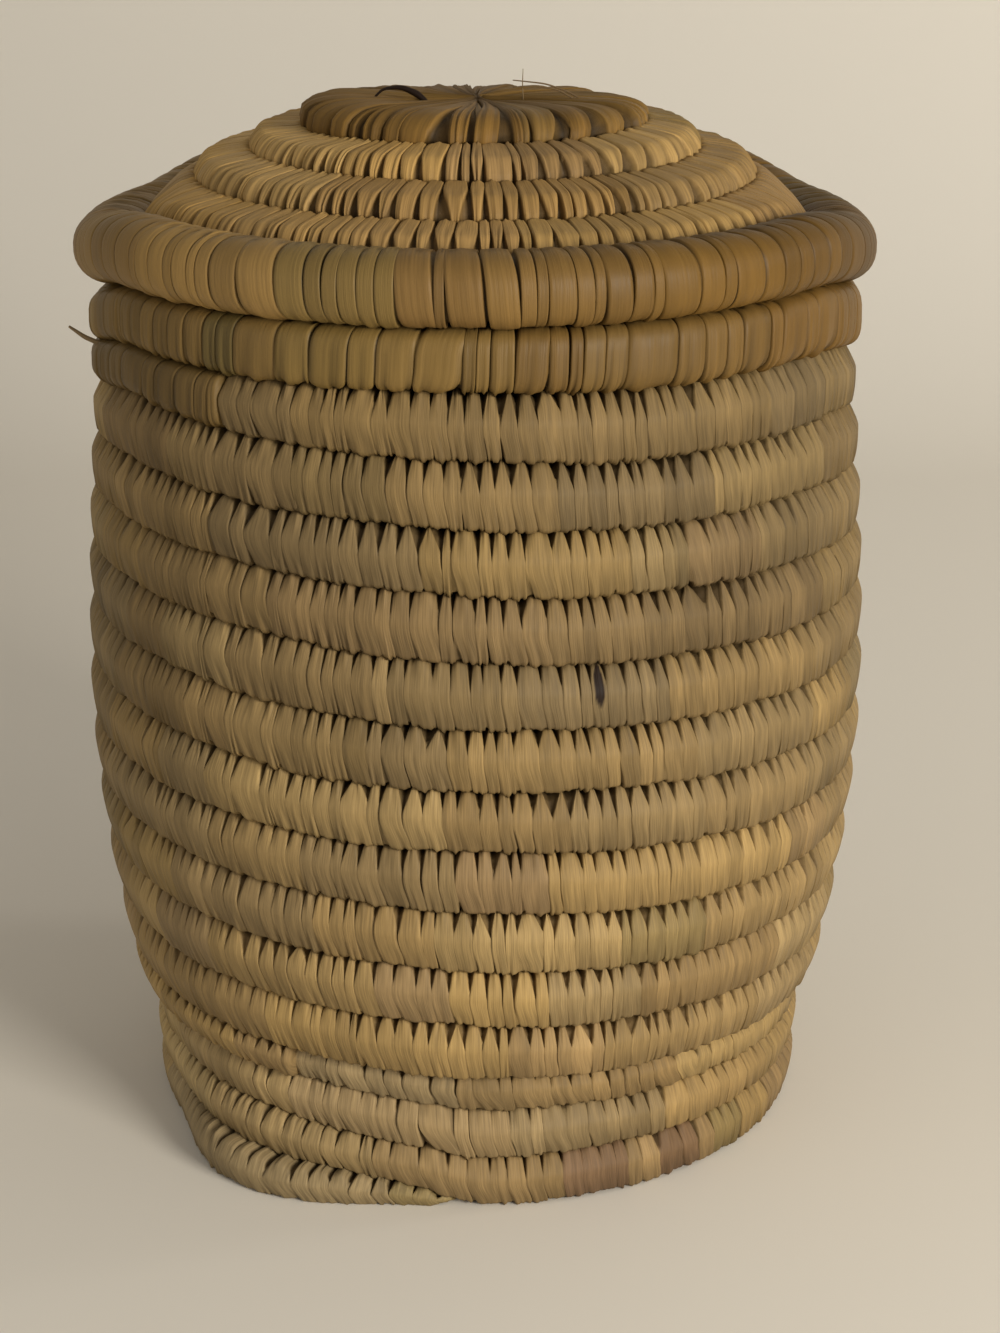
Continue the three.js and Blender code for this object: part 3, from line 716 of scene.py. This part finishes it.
def leaf_material(name, roughness, streak, grime):
    """Dry palm leaf: colour by strip, fine veins along each strip, stains, and the painted shade at the
    edges.
    """
    material = bpy.data.materials.new(name)
    material.use_nodes = True
    nodes, links = material.node_tree.nodes, material.node_tree.links
    shader = nodes["Principled BSDF"]

    def node(kind, operation=None, values=()):
        made = nodes.new("ShaderNode" + kind)
        if operation:
            made.operation = operation
        for name, value in values:
            made.inputs[name].default_value = value
        return made

    def stretched_noise(scale, detail):
        stretch = node("VectorMath", "MULTIPLY", [(1, scale)])
        links.new(fibre.outputs["Vector"], stretch.inputs[0])
        noise = node("TexNoise", values=[("Scale", 1.0), ("Detail", detail)])
        links.new(stretch.outputs["Vector"], noise.inputs["Vector"])
        return noise.outputs["Fac"]

    def ranged(value, low, high):
        before = [("From Min", NOISE_RANGE[0]), ("From Max", NOISE_RANGE[1])]
        span = node("MapRange", values=[*before, ("To Min", low), ("To Max", high)])
        links.new(value, span.inputs["Value"])
        return span.outputs["Result"]

    def multiplied(first, second):
        product = node("Math", "MULTIPLY")
        links.new(first, product.inputs[0])
        links.new(second, product.inputs[1])
        return product.outputs["Value"]

    tint, fibre = node("Attribute"), node("Attribute")
    tint.attribute_name, fibre.attribute_name = "tint", "fibre"
    veins = stretched_noise(VEIN_SCALE, VEIN_DETAIL)
    bands = stretched_noise(BAND_SCALE, BAND_DETAIL)
    stain = node("TexNoise", values=[("Scale", STAIN_SCALE), ("Detail", STAIN_DETAIL)])
    links.new(node("TexCoord").outputs["Object"], stain.inputs["Vector"])
    vein_shade = ranged(veins, 1 - streak, 1 + streak)
    band_shade = ranged(bands, 1 - BAND_STRENGTH * streak, 1 + BAND_STRENGTH * streak)
    shade = multiplied(vein_shade, band_shade)
    shade = multiplied(shade, ranged(stain.outputs["Fac"], 1 - grime, 1 + PALE_STAIN * grime))
    colour = node("VectorMath", "SCALE")
    links.new(tint.outputs["Color"], colour.inputs[0])
    links.new(shade, colour.inputs["Scale"])
    links.new(colour.outputs["Vector"], shader.inputs["Base Color"])
    uneven = ranged(veins, roughness - ROUGHNESS_SPREAD, roughness + ROUGHNESS_SPREAD)
    links.new(uneven, shader.inputs["Roughness"])
    bump = node("Bump", values=[("Strength", VEIN_BUMP), ("Distance", VEIN_HEIGHT)])
    links.new(veins, bump.inputs["Height"])
    links.new(bump.outputs["Normal"], shader.inputs["Normal"])
    shader.inputs["Specular IOR Level"].default_value = LEAF_SPECULAR
    return material


PLACED_COLOUR = 0.6


def recolour(colours, bounds, placed):
    """Leaves of a colour of their own, over stretches of a coil."""
    for low, high, name in placed:
        chosen = (bounds[:-1] >= low) & (bounds[:-1] < high)
        own = (1 - PLACED_COLOUR) * colours[chosen].mean(0) + PLACED_COLOUR * LEAF[name]
        colours[chosen] = own * rng.normal(1.0, TONE_SPREAD, (chosen.sum(), 1))
    return colours


# A dark spot shaped like a lens: half width on the strip, place and half length on the face, soft edge
SPOT_HALF_WIDTH, SPOT_MIDDLE, SPOT_HALF_LENGTH, SPOT_EDGE = 0.75, 0.32, 0.3, (-0.1, 0.25)


def paint_spot(tint, strip, profile):
    """Darkens a spot on one strip's outer face."""
    across, along = ACROSS[:, None] / SPOT_HALF_WIDTH, (profile.down - SPOT_MIDDLE) / SPOT_HALF_LENGTH
    inside = smoothstep(1 - across**2 - along**2, *SPOT_EDGE) * (profile.wide > 0)
    tint[strip, 1:] = tint[strip, 1:] * (1 - inside[..., None]) + LEAF["spot"] * inside[..., None]


# How many strips are cut from one leaf, least and most
SEWN_RUN, RING_RUN, WRAP_RUN, DISC_RUN = (4, 13), (4, 12), (3, 9), (2, 6)


def add_coil(name, surface, bounds, weights, style, material, body, nodes, pieces=1, run=SEWN_RUN,
             placed=(), tone=None, spot=None, grass_shade=np.ones_like, closed=False):
    """Covers a coil, ring or disc with strips and splits it into pieces of about equal length."""
    colours = recolour(leaf_colours(len(bounds) - 1, weights, run), bounds, placed)
    if tone:
        colours = colours * tone(bounds[:-1])
    # Tone of the grass in the gaps by turn, with painted shade
    grass_tone_and_shade = grass_shade(bounds[:-1, None, None, None])
    points, tint, fibre = sewn_surface(surface, bounds, colours, surface.down, style, grass_tone_and_shade)
    if spot:
        paint_spot(tint, int(np.searchsorted(bounds, spot)) - 1, surface.profile)
    cuts = np.linspace(0, len(points) - 1, pieces + 1).astype(int)
    for index, (low, high) in enumerate(zip(cuts[:-1], cuts[1:])):
        part = slice(low, high + 1)
        label = name if pieces == 1 else f"{name}_{index + 1}"
        obj = piece_from_grid(label, points[part], tint[part], fibre[part], material, closed,
                              surface.closed_rows)
        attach(obj, body)
        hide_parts(*nodes)


def ring_bounds(length, mean, spread, start=0.5):
    """Edges of strips round a closed ring, from the back, or round a disc."""
    widths = strip_widths(length, mean, spread)
    return start + running_sum(widths) / widths.sum()


LENGTH_SAMPLES = 400


def free_bounds(start, end, length_at, mean, spread):
    """Edges of strips along a coil, by length alone."""
    samples = np.linspace(start, end, LENGTH_SAMPLES)
    travelled = running_sum(np.diff(samples) * length_at((samples[1:] + samples[:-1]) / 2))
    ends = running_sum(strip_widths(travelled[-1], mean, spread))
    return np.interp(ends, travelled, samples)


sewn = leaf_material("sewn_palm_leaf", roughness=0.62, streak=0.24, grime=0.16)
wrapped = leaf_material("wrapped_palm_leaf", roughness=0.5, streak=0.13, grime=0.16)

# Shares of the leaf colours
BODY_MIX = {"golden": 3, "tan": 5, "straw": 1.5, "grey": 2.5, "mauve": 1.2, "brown": 1, "olive": 0.4}
RIM_MIX = {"golden": 2, "tan": 4, "brown": 2, "olive": 0.6, "grey": 1}
BUTTON_MIX = {"tan": 3, "brown": 2, "grey": 1, "golden": 1}

# Tones of the leaf at the left and at the right of a coil, and on the button. The change from left to right
# is painted light and shade, lighter at the left and darker at the right; on the lid's rim it is partly the
# leaves' own colour
FOOT_TONE, FOOT_RIGHT_TONE = (1.28, 1.4, 1.58), (0.9, 0.92, 0.9)
RIM_TONE, RIM_RIGHT_TONE = (0.79, 0.78, 0.59), (0.59, 0.51, 0.29)
LID_TONE, LID_RIGHT_TONE = (1.42, 1.36, 1.16), (1.08, 1.03, 0.86)
LID_RIM_TONE, LID_RIM_RIGHT_TONE = (0.92, 0.88, 0.72), (0.46, 0.38, 0.17)
BUTTON_TONE = (0.76, 0.66, 0.37)
SIDE_BLEND = (-0.5, 0.8)

# Tone of the wall's leaf and of the grass in its gaps, by turn. Both darken higher up as painted shade; the
# leaf also gets painted shade at the right and a little at the left, and painted light high up at the left
WALL_TONE, WALL_DARKENING, DARKENING_TURNS = 1.08, 0.4, (4.0, 13.5)
LEFT_PAINTED_LIGHT, LEFT_LIGHT_TURNS, LEFT_SHADE, RIGHT_SHADE = 0.52, (10.0, 13.5), 0.06, 0.09
WALL_HUE = (1, 1.04, 1.06)
PALE_GRASS, GRASS_DARKENING, GRASS_TURNS = 2.0, 1.25, (4.5, 9.0)


def side_tone(left, right):
    """Tone of a leaf wrapping that changes from the left side to the right: painted light and shade."""
    def tone(turn):
        share = smoothstep(-np.sin(TAU * turn), *SIDE_BLEND)[:, None]
        return (1 - share) * np.array(left) + share * np.array(right)
    return tone


def wall_tone(turn):
    """Painted shade darkens the leaf higher up, at the right and a little at the left, and painted light
    brightens it high up at the left.
    """
    right = np.clip(-np.sin(TAU * turn), 0, 1)
    tone = WALL_TONE - WALL_DARKENING * smoothstep(turn, *DARKENING_TURNS)
    tone = tone + left_share(turn) * (LEFT_PAINTED_LIGHT * smoothstep(turn, *LEFT_LIGHT_TURNS) - LEFT_SHADE)
    return np.outer(tone - RIGHT_SHADE * right, WALL_HUE)


def wall_grass(turn):
    """The grass between the tips is pale low down and darker higher up, as painted shade in the slits."""
    return PALE_GRASS - GRASS_DARKENING * smoothstep(turn, *GRASS_TURNS)


# A coil's hidden end reaches a little into the coil that goes on from it
TUCK = 0.004
# The foot's tail thins out into the wedge under the turn that comes down over it
TAIL_TIP_TURN = 0.008

body_profile = sewn_profile(outer=24, inner=6, bulge=2.6, corner=2.6, crest=0.2, slope=5.0)
wall_style = Style()
wall_ends = (WALL_START, RIM_START + TUCK)
wall = Stacked(body_profile, radius_at=wall_radius, depth=WALL_DEPTH, ends=wall_ends,
               round_turn=(0.003, 0.001), overlap=COIL_OVERLAP)
wall_bounds = interlocked_bounds(*wall_ends, per_turn=148, spread=0.26, shift=wall_style.lean)
add_coil("wall_sewing", wall, wall_bounds, BODY_MIX, wall_style, sewn, "basket", ["wall_coil"],
         pieces=7, spot=9.95, tone=wall_tone, grass_shade=wall_grass)

foot_style = Style(top_gap=0.34, low_gap=0.15, lean=0.3, jitter=0.2, level=0.16, crease=0.05, zigzag=0.6)
foot_ends = (TAIL_TIP_TURN, WALL_START + TUCK)
foot = Stacked(body_profile, radius_at=foot_radius, depth=FOOT_DEPTH, ends=foot_ends,
               round_turn=(0.02, 0.001), overlap=COIL_OVERLAP)
foot_bounds = interlocked_bounds(*foot_ends, per_turn=116, spread=0.24, shift=foot_style.lean)
# Leaves of a colour of their own: from a turn, to a turn, colour
foot_leaves = [
    (0.957, 1.04, "brown"), (0.926, 0.957, "red"), (0.879, 0.906, "red"), (0.85, 0.872, "olive"),
    (TAIL_TURN - 0.004, 0.2, "grey"),
]
add_coil("foot_sewing", foot, foot_bounds, BODY_MIX, foot_style, sewn, "basket", ["foot_coil"],
         pieces=2, tone=side_tone(FOOT_TONE, FOOT_RIGHT_TONE), placed=foot_leaves)

# Near-black grass in the gaps and strong edge lines paint shade between the wrapped strips
wrap_style = Style(
    top_gap=0.0, low_gap=0.45, low_reach=0.4, low_power=2.0, seam=0.03,
    slit=0.06, top_slit=0.9, low_slit=0.6, slit_chance=0.4,
    crown=0.05, tip_crown=0.14, crease=0.03, tip_crease=0.7, pleat_low=0.7, pleat_top=0.1,
    groove=0.5, seam_groove=0.2, deep=1.3, zigzag=0.25, slant=0.3, lean=0.0, jitter=0.14,
    shingle=0.22, level=0.16, worn=0.0, line=1.2, grass_shade=0.06, fold_shade=0.8,
)
rim_ends = (RIM_START, RIM_END)
rim_profile = round_profile(outer=22, inner=9, exponent=3.3)
rim = Stacked(rim_profile, radius_at=rim_radius, depth=RIM_DEPTH, ends=rim_ends,
              round_turn=(0.002, 0.008), overlap=0.0)
rim_bounds = free_bounds(*rim_ends, rim.mean_length, mean=9.6, spread=0.42)
rim_leaves = [(RIM_START, RIM_START + 0.16, "umber"), (RIM_TURN + 0.09, RIM_TURN + 0.108, "dark")]
add_coil("rim_wrapping", rim, rim_bounds, RIM_MIX, wrap_style, wrapped, "basket", ["rim_wrap", "rim_core"],
         run=WRAP_RUN, tone=side_tone(RIM_TONE, RIM_RIGHT_TONE), placed=rim_leaves)

# How far the middles of the lid's and the floor's coil lie from their seams, in mm
LID_COIL_MIDDLE, FLOOR_COIL_MIDDLE = 12.0, 6.0


def lid_length(turn):
    return TAU * (lid_seam(turn - 0.5) + LID_COIL_MIDDLE)


lid_style = Style(
    top_gap=0.08, top_reach=0.15, low_gap=0.46, low_reach=0.5, low_power=1.3,
    slit=0.16, low_slit=0.9, slit_chance=0.7, line=0.9, lean=0.0, jitter=0.14,
    crown=0.03, tip_crown=0.3, pleat_top=0.15, pleat_low=0.75, zigzag=0.5, level=0.22, deep=2.8, worn=0.0,
)
lid_ends = (0.4, LID_TURNS + 0.6)
lid_profile = sewn_profile(outer=26, inner=8, bulge=4.6, corner=2.2, crest=-0.3, slope=4.2)
lid = LidCoil(lid_profile, ends=lid_ends, round_turn=(0.03, 0.03))
lid_bounds = free_bounds(*lid_ends, lid_length, mean=6.2, spread=0.26)
add_coil("lid_sewing", lid, lid_bounds, BODY_MIX, lid_style, sewn, "lid", ["lid_coil"],
         pieces=2, tone=side_tone(LID_TONE, LID_RIGHT_TONE))

lid_rim_inner = LID_SEAM_RADIUS - 4.2
lid_rim = Ring(
    round_profile(outer=24, inner=10, exponent=2.35),
    radius=(LID_RIM_RADIUS + lid_rim_inner) / 2, half_a=(LID_RIM_RADIUS - lid_rim_inner) / 2,
    height=(LID_BOTTOM + LID_RIM_TOP) / 2, half_b=(LID_RIM_TOP - LID_BOTTOM) / 2,
    droop_radius=LID_SEAM_RADIUS,
)
lid_wrap_style = Style(**{**wrap_style.__dict__, "slant": -0.25, "low_gap": 0.05, "tip_crease": 0.2,
                          "pleat_low": 0.35, "fold_shade": 0.5})
lid_rim_bounds = ring_bounds(TAU * LID_RIM_RADIUS, mean=8.4, spread=0.45)
add_coil("lid_rim_wrapping", lid_rim, lid_rim_bounds, RIM_MIX, lid_wrap_style, wrapped, "lid",
         ["lid_rim_wrap", "lid_rim_core"], run=WRAP_RUN, placed=[(1.022, 1.066, "olive")],
         tone=side_tone(LID_RIM_TONE, LID_RIM_RIGHT_TONE), closed=True)

RING_HALF_DEPTH, RING_HALF_HEIGHT, RING_DROOP_INSET = 8.0, 9.5, 2.5
ring_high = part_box("lid_locating_ring")[1] / MM
ring_outer = ring_high.x
ring = Ring(
    sewn_profile(outer=14, inner=10, bulge=2.2, corner=2.0),
    radius=ring_outer - RING_HALF_DEPTH, half_a=RING_HALF_DEPTH,
    height=ring_high.z - RING_HALF_HEIGHT, half_b=RING_HALF_HEIGHT,
    droop_radius=ring_outer - RING_DROOP_INSET,
)
locating_bounds = ring_bounds(TAU * ring_outer, mean=7.5, spread=0.2)
add_coil("lid_locating_ring_sewing", ring, locating_bounds, BODY_MIX, foot_style, sewn, "lid",
         ["lid_locating_ring"], run=RING_RUN, closed=True)

KNOT_RADIUS, KNOT_THICKNESS = 15.0, 20.0
base_low, base_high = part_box("base_coil")
base_ends = (3 / 24, 5.4)
floor_coil = FloorCoil(
    sewn_profile(outer=14, inner=12, bulge=3.0, corner=2.5),
    outer=base_high.x / MM, pitch=22.5, knot=KNOT_RADIUS,
    height=(base_low.z + base_high.z) / 2 / MM, depth=20.0,
    ends=base_ends, round_turn=(0.03, 0.03),
)


def floor_length(turn):
    return TAU * (floor_coil.seam(turn) - FLOOR_COIL_MIDDLE)


floor_bounds = free_bounds(*base_ends, floor_length, mean=7.5, spread=0.18)
add_coil("floor_sewing", floor_coil, floor_bounds, BODY_MIX, foot_style, sewn, "basket", ["base_coil"],
         pieces=2)

BUTTON_ROWS, KNOT_ROWS = 60, 40
# The button's top leans back: its crest lies at a radius, under the relief of its strips
BUTTON_BACK_LEAN, BUTTON_CREST_RADIUS, BUTTON_RELIEF, BUTTON_MARGIN = 0.05, 50.0, 0.35, 0.4
button_style = Style(
    top_gap=0.0, low_gap=0.6, low_reach=0.3, slit=0.16, top_slit=0.5, low_slit=0.6, slit_chance=0.6,
    line=0.9, lean=0.0, slant=0.9, jitter=1.2, crown=0.2, crease=0.2, tip_crown=0.35, pleat_top=0.5,
    level=0.9, shingle=0.9, zigzag=0.0, groove=0.2, deep=1.8, worn=0.0, grass_shade=0.25,
)
button_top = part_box("lid_button")[1].z / MM - BUTTON_BACK_LEAN * BUTTON_CREST_RADIUS - BUTTON_RELIEF
button = Button(BUTTON_ROWS, BUTTON_RADIUS + BUTTON_MARGIN, button_top, thickness=18.2, edge_share=0.56,
                drift=(1.0, 8.0), back_lean=BUTTON_BACK_LEAN, left_swell=1.0)
button_bounds = ring_bounds(46, mean=1.0, spread=0.5, start=0.0)
add_coil("lid_button_strips", button, button_bounds, BUTTON_MIX, button_style, sewn, "lid", ["lid_button"],
         run=DISC_RUN, tone=side_tone(BUTTON_TONE, BUTTON_TONE), closed=True)

knot_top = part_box("base_knot")[1].z / MM
knot = Button(KNOT_ROWS, KNOT_RADIUS, knot_top, KNOT_THICKNESS, edge_share=0.5)
knot_bounds = ring_bounds(14, mean=1.0, spread=0.2, start=0.0)
add_coil("base_knot_strips", knot, knot_bounds, BODY_MIX, button_style, sewn, "basket", ["base_knot"],
         run=DISC_RUN, closed=True)

STRAY_STEPS, STRAY_SIDES, STRAY_SMOOTHINGS = 24, 8, 3


def add_stray(name, body, colour, path, radii):
    """Loose fibre or end of a splint: a thin tube that narrows along a smooth path."""
    points, radii = np.array(path, float), np.array(radii, float)
    share = np.linspace(0, 1, len(points))
    fine = np.linspace(0, 1, STRAY_STEPS)
    centre = np.stack([np.interp(fine, share, points[:, k]) for k in range(3)], -1)
    for _ in range(STRAY_SMOOTHINGS):
        centre[1:-1] = (centre[:-2] + 2 * centre[1:-1] + centre[2:]) / 4
    along = np.gradient(centre, axis=0)
    along /= np.linalg.norm(along, axis=1, keepdims=True)
    side = np.cross(along, [0.0, 1.0, 0.0])
    side /= np.linalg.norm(side, axis=1, keepdims=True)
    other = np.cross(along, side)
    angle = np.linspace(0, TAU, STRAY_SIDES, endpoint=False)
    round_section = np.cos(angle)[:, None] * side[:, None, :] + np.sin(angle)[:, None] * other[:, None, :]
    tube = centre[:, None, :] + np.interp(fine, share, radii)[:, None, None] * round_section
    tint = np.broadcast_to(LEAF[colour], tube.shape)[:, None]
    fibre = np.ones(tube.shape)
    fibre[..., 0] = angle
    fibre[..., 1] = FIBRE_LENGTH * fine[:, None]
    obj = piece_from_grid(name, tube[:, None], tint, fibre[:, None], sewn)
    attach(obj, body)


add_stray("lid_hair_1", "lid", "umber",
          [(40, 0, 391.0), (34, 0, 394.4), (26, -1, 397.2), (14, -2, 398.6)], (0.35, 0.3, 0.3, 0.2))
add_stray("lid_hair_2", "lid", "umber",
          [(36, -2, 392.0), (31, -2, 395.0), (24, -3, 396.6), (14, -3, 396.2)], (0.3, 0.3, 0.3, 0.2))
add_stray("lid_hair_3", "lid", "grey",
          [(18, 0, 390.0), (17.6, 0, 396.0), (17.8, 0, 402.5)], (0.22, 0.2, 0.12))
add_stray("lid_leaf_loop", "lid", "spot",
          [(-38, -6, 391.5), (-34, -6, 396.0), (-27, -7, 396.8), (-21, -8, 394.4), (-16, -10, 390.0)],
          (0.4, 0.5, 0.9, 1.3, 0.8))
add_stray("rim_splint_end", "basket", "grey",
          [(-138, -30, 305.5), (-145, -26, 307.5), (-151, -22, 310.5)], (1.0, 0.9, 0.5))


# Camera, matched to the photograph's perspective
FOCAL_PX, IMAGE_HEIGHT = 2965.0, 1333.0
CAMERA_PLACE, CAMERA_DOWN_DEGREES = (0.0093, -1.1072, 0.5471), 18.84
camera_data = bpy.data.cameras.new("camera")
camera_data.sensor_width = 36.0
camera_data.lens = FOCAL_PX * camera_data.sensor_width / IMAGE_HEIGHT
camera = bpy.data.objects.new("camera", camera_data)
camera.location = CAMERA_PLACE
camera.rotation_euler = (math.radians(90 - CAMERA_DOWN_DEGREES), 0, 0)
scene.collection.objects.link(camera)
scene.camera = camera


def add_backdrop():
    """Floor that sweeps up behind the object."""
    front, depth, bend, width, top, steps = -4.0, 0.9, 0.5, 6.0, 3.0, 12
    profile = [(front, 0.0), (depth, 0.0)]
    for step in range(1, steps + 1):
        a = math.pi / 2 * step / steps
        profile.append((depth + bend * math.sin(a), bend * (1 - math.cos(a))))
    profile.append((depth + bend, top))
    vertices = [(x, y, z) for y, z in profile for x in (-width, width)]
    faces = [(2 * i, 2 * i + 1, 2 * i + 3, 2 * i + 2) for i in range(len(profile) - 1)]
    mesh = bpy.data.meshes.new("floor")
    mesh.from_pydata(vertices, [], faces)
    mesh.polygons.foreach_set("use_smooth", [True] * len(faces))
    material = bpy.data.materials.new("floor_paper")
    material.use_nodes = True
    shader = material.node_tree.nodes["Principled BSDF"]
    shader.inputs["Base Color"].default_value = (*srgb(226, 220, 208), 1)
    shader.inputs["Roughness"].default_value = 0.9
    mesh.materials.append(material)
    obj = bpy.data.objects.new("floor", mesh)
    scene.collection.objects.link(obj)


add_backdrop()


def add_light(name, place_at, target, size, power, colour):
    data = bpy.data.lights.new(name, "AREA")
    data.energy, data.size, data.color = power, size, colour
    obj = bpy.data.objects.new(name, data)
    obj.location = place_at
    direction = Vector(target) - Vector(place_at)
    obj.rotation_euler = direction.to_track_quat("-Z", "Y").to_euler()
    scene.collection.objects.link(obj)


add_light("key", (1.05, -1.34, 0.62), target=(0, 0, 0.14), size=0.6, power=28.0, colour=(1.0, 0.95, 0.86))
add_light("backdrop", (1.5, 0.2, 0.7), target=(0.9, 1.4, 0.5), size=0.5, power=7.5, colour=(1.0, 0.96, 0.9))
add_light("fill", (-1.3, -1.0, 0.35), target=(0, 0, 0.24), size=1.2, power=3.0, colour=(1.0, 0.95, 0.88))

world = bpy.data.worlds.new("studio")
world.use_nodes = True
background = world.node_tree.nodes["Background"]
background.inputs["Color"].default_value = (1.0, 0.97, 0.93, 1)
background.inputs["Strength"].default_value = 0.35
scene.world = world
scene.view_settings.view_transform = "Standard"

bpy.context.view_layer.update()
